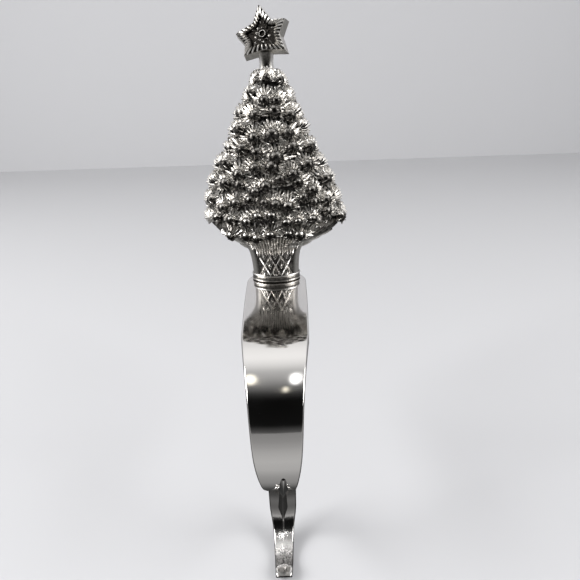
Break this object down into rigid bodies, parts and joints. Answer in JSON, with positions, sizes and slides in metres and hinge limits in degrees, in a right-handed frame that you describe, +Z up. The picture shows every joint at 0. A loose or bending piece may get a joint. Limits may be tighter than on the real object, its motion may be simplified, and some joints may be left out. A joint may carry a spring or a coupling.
{
  "type": "mantel stocking holder",
  "caption": "Cast tree figure with a star, standing on a polished strap that reaches over a mantel's edge, bulges forward and ends in a hook for a stocking.",
  "frame": {"origin": "where the tree's axis meets the mantel's top, on the underside of the felt", "axes": "+Z up, +X to the viewer's right, +Y towards the wall, so that the hook lies on the -Y side and below the origin"},
  "size_m": [0.0704, 0.1084, 0.2276],
  "materials": {
    "polished_silver": "mirror polish",
    "antique_silver": "silver plate, darkened in the recesses",
    "screw_steel": "zinc-plated",
    "felt": "dark felt"
  },
  "bodies": {
    "root": {"arm": "polished_silver", "tree_figure": "antique_silver", "fixing_screw": "screw_steel", "felt_pad": "felt"}
  },
  "joints": []
}
